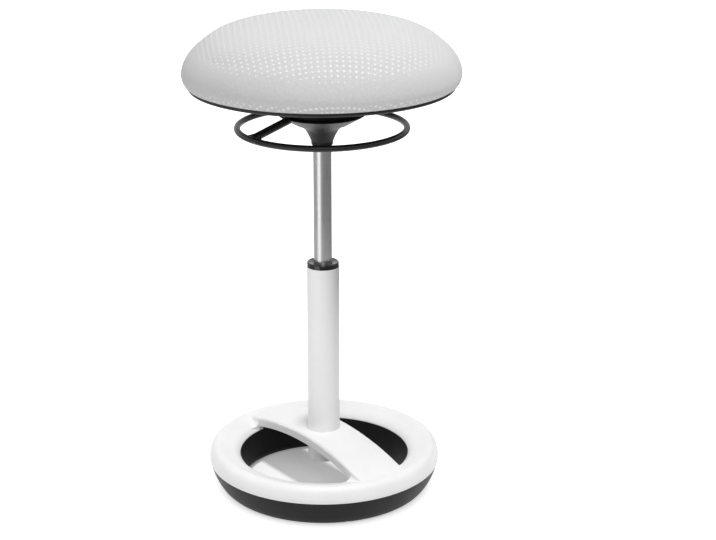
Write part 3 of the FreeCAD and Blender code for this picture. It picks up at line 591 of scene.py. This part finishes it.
def turned_points(profile: np.ndarray, segments: int) -> np.ndarray:
    """The points of a profile of radii and heights, carried round the axis."""
    angles = np.arange(segments) * 2 * pi / segments
    radii, heights = profile[:, :1], profile[:, 1:]
    rows = np.stack([radii * np.cos(angles), radii * np.sin(angles), heights + 0 * angles], axis=2)
    return rows.reshape(-1, 3)


@dataclass
class CadGroup:
    """A sub-assembly whose rigid pieces come from the part and get their finish here."""

    title: str
    nodes: tuple[str, ...]

    def dress(self) -> None:
        """Give each node the finish of its material slot."""
        slots = {part["node"]: part["material_slot"] for part in frame["record"]["subparts"]}
        for node in self.nodes:
            wardrobe.dress(frame["nodes"][node], slots[node])
            log.info("%s: %s in %s", self.title, node, slots[node])


@dataclass
class Cushion:
    """The domed seat: a knit cover drawn over foam and folded in under the board."""

    crown_flatness: float = 2.87
    crown_fullness: float = 1.91
    tuck_roundness: float = 1.71
    widest_height: float = 0.6633
    rim_radius: float = 0.2004
    fabric: float = 0.0018
    lap: float = 0.016
    segments: int = 240
    dome_rows: int = 84
    tuck_rows: int = 14
    lap_rows: int = 5
    inner_dome_rows: int = 28
    inner_tuck_rows: int = 6
    foam_segments: int = 120
    foam_dome_rows: int = 40
    foam_tuck_rows: int = 8
    foam_gap: float = 0.0002
    form_segments: int = 96
    form_dome_rows: int = 30
    form_tuck_rows: int = 6
    crown_rise: float = 0.00002
    smoothing: int = 12
    rim_rows: int = 12
    chart_drop: float = 0.02
    fold_height: float = 0.0005
    sunk: float = 0.0025
    voxel: float = 0.006
    pressure: float = 4.0
    frames: int = 20
    dot_pitch: float = 0.0092
    dot_radius: float = 0.0024
    dot_height: float = 0.0004
    dot_turn: float = radians(59.0)
    dot_margin: float = 0.004
    dot_sides: int = 8
    dot_profile: tuple[tuple[float, float], ...] = ((0.45, 0.92), (0.82, 0.55), (1.0, -0.25))

    def __post_init__(self) -> None:
        """Read the cushion's outer size from the part's own cover and board."""
        low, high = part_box("seat_cover")
        self.radius = high.x
        self.top = high.z
        self.lap_height = low.z
        board_low, board_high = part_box("seat_board")
        self.board_radius = board_high.x
        self.board_low, self.board_high = board_low.z, board_high.z

    def dome(self, inset: float, rows: int) -> np.ndarray:
        """Radii and heights from the top of the crown to the widest circle, drawn in by inset."""
        wide, high = self.radius - inset, self.top - self.widest_height - inset
        radii = wide * np.sin(np.linspace(0.0, pi / 2, rows))
        share = 1 - (radii / wide) ** self.crown_flatness
        heights = self.widest_height + high * share.clip(0) ** (1 / self.crown_fullness)
        return np.column_stack([radii, heights])

    def tuck(self, inset: float, bottom: float, rows: int) -> np.ndarray:
        """Radii and heights from below the widest circle to the rim."""
        wide, edge = self.radius - inset, self.rim_radius - inset
        fall = np.sin(np.linspace(0.0, pi / 2, rows + 1))[1:]
        bulge = (1 - fall ** self.tuck_roundness).clip(0) ** (1 / self.tuck_roundness)
        return np.column_stack([edge + (wide - edge) * bulge,
                                self.widest_height - (self.widest_height - bottom) * fall])

    def arc_lengths(self, profile: np.ndarray) -> np.ndarray:
        """Distance along a profile from its first point."""
        steps = np.linalg.norm(np.diff(profile, axis=0), axis=1)
        return np.concatenate([[0.0], np.cumsum(steps)])

    def skin(self) -> np.ndarray:
        """The cover's outside, from the top round the widest circle to its folded edge under the board."""
        lap_radii = np.linspace(self.rim_radius, self.board_radius - self.lap, self.lap_rows + 1)[1:]
        lap = np.column_stack([lap_radii, np.full(self.lap_rows, self.lap_height)])
        tuck = self.tuck(0.0, self.lap_height, self.tuck_rows)
        return np.vstack([self.dome(0.0, self.dome_rows), tuck, lap])

    def inflate(self) -> BVHTree:
        """Blow up a slightly smaller cushion with a cloth simulation.

        Returns:
            The surface that it takes, for rays to meet.
        """
        profile = np.vstack([self.dome(self.sunk, self.form_dome_rows),
                             self.tuck(self.sunk, self.lap_height, self.form_tuck_rows)])
        points = turned_points(profile[1:], self.form_segments)
        points = np.vstack([points, [[0, 0, profile[0, 1]], [0, 0, self.lap_height]]])
        pad = new_piece("cushion_form", points, capped_faces(len(profile) - 1, self.form_segments))
        pad.data.remesh_voxel_size = self.voxel
        bpy.context.view_layer.objects.active = pad
        pad.select_set(True)
        bpy.ops.object.voxel_remesh()
        held = pad.vertex_groups.new(name="held")
        under = [v.index for v in pad.data.vertices if v.co.z < self.lap_height + self.voxel / 2]
        held.add(under, 1.0, "REPLACE")
        cloth = pad.modifiers.new("inflate", "CLOTH")
        cloth.settings.use_pressure = True
        cloth.settings.uniform_pressure_force = self.pressure
        cloth.settings.effector_weights.gravity = 0.0
        cloth.settings.vertex_group_mass = held.name
        for step in range(1, self.frames + 1):
            bpy.context.scene.frame_set(step)
        shape = pad.evaluated_get(bpy.context.evaluated_depsgraph_get())
        tree = BVHTree.FromObject(shape, bpy.context.evaluated_depsgraph_get())
        bpy.context.scene.frame_set(1)
        bpy.data.objects.remove(pad)
        return tree

    def plump(self, points: np.ndarray, rows: int) -> np.ndarray:
        """Move the cover's rows of points out to the inflated form, by no more than it was sunk.

        Args:
            points: the points of the cover, row after row.
            rows: how many rows, from the crown to the rim, follow the form.

        Returns:
            The moved points.
        """
        form = self.inflate()
        centre = Vector((0, 0, self.widest_height))
        grid = points[:rows * self.segments].reshape(rows, self.segments, 3)
        gap = np.zeros(grid.shape[:2])
        for row in range(rows):
            for step in range(self.segments):
                out = Vector(grid[row, step]) - centre
                hit = form.ray_cast(centre, out.normalized())[0]
                gap[row, step] = (hit - centre).length - out.length if hit else 0.0
        gap = gap.clip(-self.sunk, self.sunk / 2)
        for _ in range(self.smoothing):
            gap = (gap + np.roll(gap, 1, 1) + np.roll(gap, -1, 1)) / 3
            inner = (gap[:-2] + gap[1:-1] + gap[2:]) / 3
            gap = np.vstack([gap[:1].mean() + 0 * gap[:1], inner, gap[-1:]])
        hold = np.clip((rows - 1 - np.arange(rows)) / self.rim_rows, 0, 1)[:, None]
        out = grid - np.array(centre)
        out /= np.linalg.norm(out, axis=2, keepdims=True)
        moved = grid + out * (gap * hold)[:, :, None]
        log.info("cushion: the inflated form moved the cover by %.2f to %.2f mm",
                 1000 * float((gap * hold).min()), 1000 * float((gap * hold).max()))
        result = points.copy()
        result[:rows * self.segments] = moved.reshape(-1, 3)
        return result

    def cover(self) -> bpy.types.Object:
        """The knit cover, a closed shell with its folded edge, mapped on the lattice of its dots."""
        outside = self.skin()
        folded = self.lap_height + self.fabric
        inside = np.vstack([self.dome(self.fabric, self.inner_dome_rows),
                            self.tuck(self.fabric, folded, self.inner_tuck_rows),
                            [[outside[-1, 0], folded]]])
        outer_points = turned_points(outside[1:], self.segments)
        outer_points = self.plump(outer_points, self.dome_rows + self.tuck_rows - 1)
        inner_points = turned_points(inside[1:][::-1], self.segments)
        rows = len(outside) + len(inside) - 2
        crown = outer_points[:self.segments, 2].max() + self.crown_rise
        points = np.vstack([outer_points, inner_points, [[0, 0, crown], [0, 0, inside[0, 1]]]])
        piece = new_piece("cushion_cover", points, capped_faces(rows, self.segments))
        self.map_lattice(piece, outside)
        wardrobe.dress(piece, "knit_fabric")
        return piece

    def map_lattice(self, piece: bpy.types.Object, profile: np.ndarray) -> None:
        """Map a piece by each point's distance from the crown along the cover, and its bearing.

        Args:
            piece: the mesh to map.
            profile: the cover's outside.
        """
        lengths = self.arc_lengths(profile)
        places = np.zeros(len(piece.data.vertices) * 3)
        piece.data.vertices.foreach_get("co", places)
        places = places.reshape(-1, 3)
        reach = np.hypot(places[:, 0], places[:, 1])
        centre = self.lap_height - self.chart_drop
        angle = np.arctan2(reach, places[:, 2] - centre)
        known = np.arctan2(profile[:, 0], profile[:, 1] - centre)
        rows = len(profile) - self.lap_rows
        length = np.interp(angle, known[:rows], lengths[:rows])
        folded = places[:, 2] < self.lap_height + self.fold_height
        length[folded] = lengths[rows - 1] + (self.rim_radius - reach[folded])
        bearing = np.arctan2(places[:, 1], places[:, 0])
        flat = np.column_stack([length * np.cos(bearing), length * np.sin(bearing)])
        layer = piece.data.uv_layers.new(name=LATTICE_MAP)
        corners = np.zeros(len(piece.data.loops), int)
        piece.data.loops.foreach_get("vertex_index", corners)
        layer.data.foreach_set("uv", flat[corners].ravel())

    def core(self) -> bpy.types.Object:
        """The foam under the cover, hollowed for the board."""
        inset = self.fabric + self.foam_gap
        bore = self.board_radius + self.foam_gap
        roof = self.board_high + self.foam_gap
        profile = np.vstack([self.dome(inset, self.foam_dome_rows),
                             self.tuck(inset, self.board_low, self.foam_tuck_rows),
                             [[bore, self.board_low], [bore, roof]]])
        points = np.vstack([turned_points(profile[1:], self.foam_segments),
                            [[0, 0, profile[0, 1]], [0, 0, roof]]])
        piece = new_piece("cushion_foam", points, capped_faces(len(profile) - 1, self.foam_segments))
        wardrobe.dress(piece, "foam")
        return piece

    def dot(self) -> bpy.types.Object:
        """One raised dot: a low dome, a little of it under the fabric."""
        profile = np.array(self.dot_profile) * [self.dot_radius, self.dot_height]
        points = np.vstack([turned_points(profile, self.dot_sides),
                            [[0, 0, self.dot_height], [0, 0, profile[-1, 1]]]])
        return new_piece("one_dot", points, capped_faces(len(profile), self.dot_sides))

    def outside_of(self, cover: bpy.types.Object) -> bpy.types.Object:
        """A mapped copy of the cover's outside alone, for the dots to be set on."""
        points = np.array([vertex.co for vertex in cover.data.vertices])
        outer, crown = (len(self.skin()) - 1) * self.segments, len(points) - 2
        faces = [tuple(face.vertices) for face in cover.data.polygons
                 if all(corner < outer or corner == crown for corner in face.vertices)]
        outside = new_piece("dot_carrier", points, faces)
        self.map_lattice(outside, self.skin())
        return outside

    def dots(self, cover: bpy.types.Object) -> bpy.types.Object:
        """The raised dots of the knit, set on the cover in a square lattice by geometry nodes.

        Args:
            cover: the mapped cover.

        Returns:
            One mesh with every dot.
        """
        length = self.arc_lengths(self.skin())
        reach = float(length[self.dome_rows + self.tuck_rows - 1]) - self.dot_margin
        pattern = self.dot()
        tree = bpy.data.node_groups.new("raised_dots", "GeometryNodeTree")
        tree.interface.new_socket(name="Geometry", in_out="INPUT", socket_type="NodeSocketGeometry")
        tree.interface.new_socket(name="Geometry", in_out="OUTPUT", socket_type="NodeSocketGeometry")
        sizes = {}
        for name, kind, value in (("Pitch", "NodeSocketFloat", self.dot_pitch),
                                  ("Reach", "NodeSocketFloat", reach),
                                  ("Turn", "NodeSocketFloat", self.dot_turn),
                                  ("Dot", "NodeSocketObject", pattern),
                                  ("Finish", "NodeSocketMaterial", wardrobe.get("raised_knit"))):
            socket = tree.interface.new_socket(name=name, in_out="INPUT", socket_type=kind)
            sizes[socket.identifier] = value
        graph = Graph(tree)
        given, result = graph.add("NodeGroupInput"), graph.add("NodeGroupOutput")
        half = graph.math("CEIL", graph.math("DIVIDE", given.outputs["Reach"], given.outputs["Pitch"]))
        count = graph.math("ADD", graph.math("MULTIPLY", half, 2.0), 1.0)
        side = graph.math("MULTIPLY", graph.math("MULTIPLY", half, 2.0), given.outputs["Pitch"])
        grid = graph.fed("GeometryNodeMeshGrid", {"Size X": side, "Size Y": side,
                                                  "Vertices X": count, "Vertices Y": count})
        spin = graph.fed("ShaderNodeCombineXYZ", {"Z": given.outputs["Turn"]})
        turned = graph.fed("GeometryNodeTransform", {"Geometry": grid.outputs["Mesh"],
                                                     "Rotation": spin.outputs[0]})
        place = graph.add("GeometryNodeInputPosition").outputs[0]
        outside = graph.math("GREATER_THAN", graph.length(place), given.outputs["Reach"])
        kept = graph.fed("GeometryNodeDeleteGeometry", {"Geometry": turned.outputs[0], "Selection": outside},
                         domain="POINT")
        chart = graph.fed("GeometryNodeInputNamedAttribute", {"Name": LATTICE_MAP}, data_type="FLOAT_VECTOR")
        spot, normal = (
            graph.fed("GeometryNodeSampleUVSurface",
                      {0: given.outputs["Geometry"], 1: graph.add(kind).outputs[0],
                       2: chart.outputs[0], 3: place},
                      data_type="FLOAT_VECTOR").outputs[0]
            for kind in ("GeometryNodeInputPosition", "GeometryNodeInputNormal"))
        lean = graph.add("GeometryNodeCaptureAttribute", domain="POINT")
        lean.capture_items.new("VECTOR", "Normal")
        graph.feed(lean.inputs["Geometry"], kept.outputs[0])
        graph.feed(lean.inputs["Normal"], normal)
        lifted = graph.fed("GeometryNodeSetPosition", {"Geometry": lean.outputs["Geometry"], "Position": spot})
        aim = graph.fed("FunctionNodeAlignRotationToVector", {"Vector": lean.outputs["Normal"]}, axis="Z")
        model = graph.fed("GeometryNodeObjectInfo", {"Object": given.outputs["Dot"]})
        spread = graph.fed("GeometryNodeInstanceOnPoints", {
            "Points": lifted.outputs[0], "Instance": model.outputs["Geometry"], "Rotation": aim.outputs[0]})
        real = graph.fed("GeometryNodeRealizeInstances", {0: spread.outputs[0]})
        finish = graph.fed("GeometryNodeSetMaterial", {"Geometry": real.outputs[0],
                                                       "Material": given.outputs["Finish"]})
        graph.feed(result.inputs[0], finish.outputs[0])
        carrier = self.outside_of(cover)
        modifier = carrier.modifiers.new("raised_dots", "NODES")
        modifier.node_group = tree
        for identifier, value in sizes.items():
            modifier[identifier] = value
        seen = carrier.evaluated_get(bpy.context.evaluated_depsgraph_get())
        mesh = bpy.data.meshes.new_from_object(seen)
        mesh.name = "cover_dots"
        piece = bpy.data.objects.new("cover_dots", mesh)
        bpy.context.scene.collection.objects.link(piece)
        for helper in (carrier, pattern):
            bpy.data.objects.remove(helper)
        mesh.shade_smooth()
        self.map_lattice(piece, self.skin())
        log.info("cushion: %d points in its dots", len(mesh.vertices))
        return piece

    def build(self) -> None:
        """Make the cover, its dots and the foam, and set them on the seat."""
        cover = self.cover()
        foam = self.core()
        dots = self.dots(cover)
        for piece, slot in ((cover, "knit_fabric"), (dots, "knit_fabric"), (foam, "foam")):
            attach(piece, "seat")
            log.info("cushion: %s", piece.name)
        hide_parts("seat_cover")
        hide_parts("seat_foam")


@dataclass(frozen=True)
class Lamp:
    """A soft rectangular studio lamp that looks at a point."""

    name: str
    place: tuple[float, float, float]
    aim: tuple[float, float, float]
    width: float
    height: float
    watts: float
    only: tuple[str, ...] = ()
    spares: tuple[str, ...] = ()
    blockers: tuple[str, ...] = ()

    def group(self, purpose: str, names: tuple[str, ...], state: str) -> bpy.types.Collection:
        """A light linking collection of nodes and of the floor.

        Args:
            purpose: what the collection is for.
            names: what is in it.
            state: INCLUDE or EXCLUDE.

        Returns:
            The collection.
        """
        collection = bpy.data.collections.new(f"{self.name}_{purpose}")
        for name in names:
            piece = frame["nodes"][name] if name in frame["nodes"] else bpy.data.objects[name]
            collection.objects.link(piece)
        for entry in collection.collection_objects:
            entry.light_linking.link_state = state
        return collection

    def hang(self) -> None:
        """Put the lamp in the scene.

        Where only names pieces, it lights nothing else, and it lights none in spares. Where blockers names
        pieces, nothing else throws a shadow in its light.
        """
        light = bpy.data.lights.new(self.name, "AREA")
        light.shape = "RECTANGLE"
        light.size, light.size_y = self.width, self.height
        light.energy = self.watts
        lamp = bpy.data.objects.new(self.name, light)
        lamp.location = self.place
        lamp.rotation_euler = (Vector(self.aim) - Vector(self.place)).to_track_quat("-Z", "Y").to_euler()
        bpy.context.scene.collection.objects.link(lamp)
        linking = lamp.light_linking
        if self.only:
            linking.receiver_collection = self.group("lit", self.only, "INCLUDE")
        if self.spares:
            linking.receiver_collection = self.group("unlit", self.spares, "EXCLUDE")
        if self.blockers:
            linking.blocker_collection = self.group("blockers", self.blockers, "INCLUDE")


@dataclass(frozen=True)
class Flag:
    """A curved panel round the stool that the camera doesn't see.

    One that shades is there for diffuse rays alone, and every other one for reflections alone.
    """

    name: str
    start: float
    end: float
    distance: float
    low: float
    high: float
    tone: float
    shades: bool = False
    sides: int = 24

    def stand(self) -> None:
        """Put the panel up round the column."""
        bearings = np.linspace(self.start, self.end, self.sides + 1)
        foot = np.column_stack([np.cos(bearings), np.sin(bearings)]) * self.distance
        points = np.vstack([np.column_stack([foot, np.full(len(foot), height)])
                            for height in (self.low, self.high)])
        row = self.sides + 1
        panel = new_piece(self.name, points, [(step, row + step, row + step + 1, step + 1)
                                              for step in range(self.sides)])
        material = bpy.data.materials.new(self.name)
        material.use_nodes = True
        shader = material.node_tree.nodes["Principled BSDF"]
        shader.inputs["Base Color"].default_value = (self.tone,) * 3 + (1.0,)
        shader.inputs["Roughness"].default_value = 1.0
        shader.inputs["Specular IOR Level"].default_value = 0.0
        panel.data.materials.append(material)
        panel.visible_camera = False
        panel.visible_shadow = False
        panel.visible_diffuse = self.shades
        panel.visible_glossy = not self.shades


@dataclass
class Studio:
    """A white floor and surround, soft light from above, from the front and on the column, and the panels.

    The base and the floor have an overhead and a front lamp of their own, in which the base and the column
    alone throw shadows.
    """

    floor_radii: tuple[float, ...] = (9.0, 1.5, 0.4)
    floor_sides: int = 64
    floor_tone: float = 0.86
    floor_lift: float = 0.22
    open_lift: float = 0.75
    near: float = 0.135
    far: float = 0.17
    surround: float = 0.50
    lamps: tuple[Lamp, ...] = (
        Lamp("overhead", (0.9, 1.25, 6.0), (0.0, 0.0, 0.0), 0.9, 0.9, 150.0, spares=BASE_AND_FLOOR),
        Lamp("overhead_base", (0.6, -0.1, 6.0), (0.0, 0.0, 0.0), 0.7, 0.7, 185.0, only=BASE_AND_FLOOR,
             blockers=BASE_AND_COLUMN),
        Lamp("front", (2.3, -1.6, 3.4), (0.0, 0.0, 0.4), 1.6, 1.6, 46.0, spares=BASE_AND_FLOOR),
        Lamp("front_base", (2.6, -1.8, 2.8), (0.0, 0.0, 0.4), 1.6, 1.6, 22.0, only=BASE_AND_FLOOR,
             blockers=BASE_AND_COLUMN),
        Lamp("left_strip", (0.65, -2.42, 0.4), (0.0, 0.0, 0.3), 0.6, 1.4, 6.0,
             only=("column_tube", "guide_bushing", "pressure_tube")),
    )
    flags: tuple[Flag, ...] = (
        Flag("right_flag", radians(-58.0), radians(125.0), 0.75, 0.05, 0.62, 0.42),
        Flag("left_flag", radians(-175.0), radians(-98.0), 0.75, 0.05, 0.62, 0.62),
        Flag("upper_shade", radians(0.0), radians(115.0), 0.20, 0.26, 0.58, 0.02, shades=True),
    )

    def floor(self) -> None:
        """The floor: it keeps the shadows in and under the base, and is plain white away from it."""
        sides = self.floor_sides
        rings = np.array([[radius, 0.0] for radius in self.floor_radii])
        points = np.vstack([turned_points(rings, sides)[::-1], [[0, 0, 0]]])
        faces = turned_faces(len(rings), sides)
        faces += [(len(rings) * sides, step, (step + 1) % sides) for step in range(sides)]
        floor = new_piece(FLOOR, points, faces)
        material = bpy.data.materials.new(FLOOR)
        material.use_nodes = True
        graph = Graph(material.node_tree)
        graph.tree.nodes.remove(graph.tree.nodes["Principled BSDF"])
        diffuse = graph.fed("ShaderNodeBsdfDiffuse", {"Color": (self.floor_tone,) * 3 + (1.0,)})
        lift = graph.remap(graph.length(graph.place()), self.floor_lift, self.open_lift, self.near, self.far)
        strength = graph.math("MULTIPLY", graph.plainly_seen(), lift)
        glow = graph.fed("ShaderNodeEmission", {"Strength": strength})
        both = graph.fed("ShaderNodeAddShader", {0: diffuse.outputs[0], 1: glow.outputs[0]})
        graph.feed(graph.tree.nodes["Material Output"].inputs["Surface"], both.outputs[0])
        floor.data.materials.append(material)

    def sky(self) -> None:
        """A white surround: plain white to the eye, in mirrors and through glass, and softer as light."""
        world = bpy.data.worlds.new("studio")
        bpy.context.scene.world = world
        world.use_nodes = True
        graph = Graph(world.node_tree)
        background = world.node_tree.nodes["Background"]
        background.inputs["Color"].default_value = (1, 1, 1, 1)
        graph.feed(background.inputs["Strength"], graph.remap(graph.plainly_seen(), self.surround, 1.0))

    def build(self) -> None:
        """Set up the floor, the surround, the lamps and the flags."""
        self.floor()
        self.sky()
        for lamp in self.lamps:
            lamp.hang()
            log.info("studio: %s lamp", lamp.name)
        for flag in self.flags:
            flag.stand()
            log.info("studio: %s", flag.name)


@dataclass(frozen=True)
class ShotCamera:
    """The camera at the photograph's place, found from the circles of base, lever and seat."""

    place: tuple[float, float, float] = (2.1894, -1.5388, 1.2512)
    heading: float = radians(54.9)
    fall: float = 0.32069
    roll: float = -0.0065
    lens: float = 92.40
    sensor: float = 36.0
    picture_width: float = 716.0
    picture_height: float = 540.0
    axis_column: float = 322.9
    axis_row: float = 264.85
    far_clip: float = 60.0

    def build(self) -> None:
        """Make the camera and look through it."""
        data = bpy.data.cameras.new("shot")
        data.lens, data.sensor_width, data.sensor_fit = self.lens, self.sensor, "HORIZONTAL"
        data.shift_x = (self.picture_width / 2 - self.axis_column) / self.picture_width
        data.shift_y = (self.axis_row - self.picture_height / 2) / self.picture_width
        data.clip_end = self.far_clip
        turn = Matrix.Rotation(self.heading, 3, "Z")
        ahead = turn @ Vector((0, cos(self.fall), -sin(self.fall)))
        right = turn @ Vector((1, 0, 0))
        up = right.cross(ahead)
        side = right * cos(self.roll) + up * sin(self.roll)
        above = up * cos(self.roll) - right * sin(self.roll)
        camera = bpy.data.objects.new("shot", data)
        camera.matrix_world = Matrix((side, above, -ahead)).transposed().to_4x4()
        camera.location = self.place
        bpy.context.scene.collection.objects.link(camera)
        bpy.context.scene.camera = camera


@dataclass
class PerchStool:
    """The whole stool: the rigid sub-assemblies from the part, and the cushion made here."""

    groups: tuple[CadGroup, ...] = (
        CadGroup("base", BASE_NODES),
        CadGroup("column", COLUMN_NODES),
        CadGroup("gas lift", ("pressure_tube", "inner_cylinder", "rod_guide", "rod_seal", "valve_body",
                              "valve_pin", "piston_rod", "piston", "piston_seal", "upper_race",
                              "rubber_buffer", "foot_washer", "retaining_clip")),
        CadGroup("hub", ("seat_hub", "hub_screws", "pivot_pin")),
        CadGroup("lever", ("lever_ring", "lever_tongue")),
        CadGroup("seat shell", ("seat_pan", "pan_screws", "seat_board", "seat_plate", "seat_bolts",
                                "seat_washers", "t_nuts", "cover_staples")),
    )
    cushion: Cushion = field(default_factory=Cushion)

    def build(self) -> None:
        """Dress every sub-assembly and make the cushion."""
        for group in self.groups:
            group.dress()
        self.cushion.build()


def main() -> None:
    """Build the stool and the studio, and report the pieces."""
    logging.basicConfig(level=logging.INFO, format="%(message)s")
    scene = bpy.context.scene
    scene.view_settings.view_transform = "Standard"
    ShotCamera().build()
    Studio().build()
    PerchStool().build()


if __name__ == "__main__":
    main()
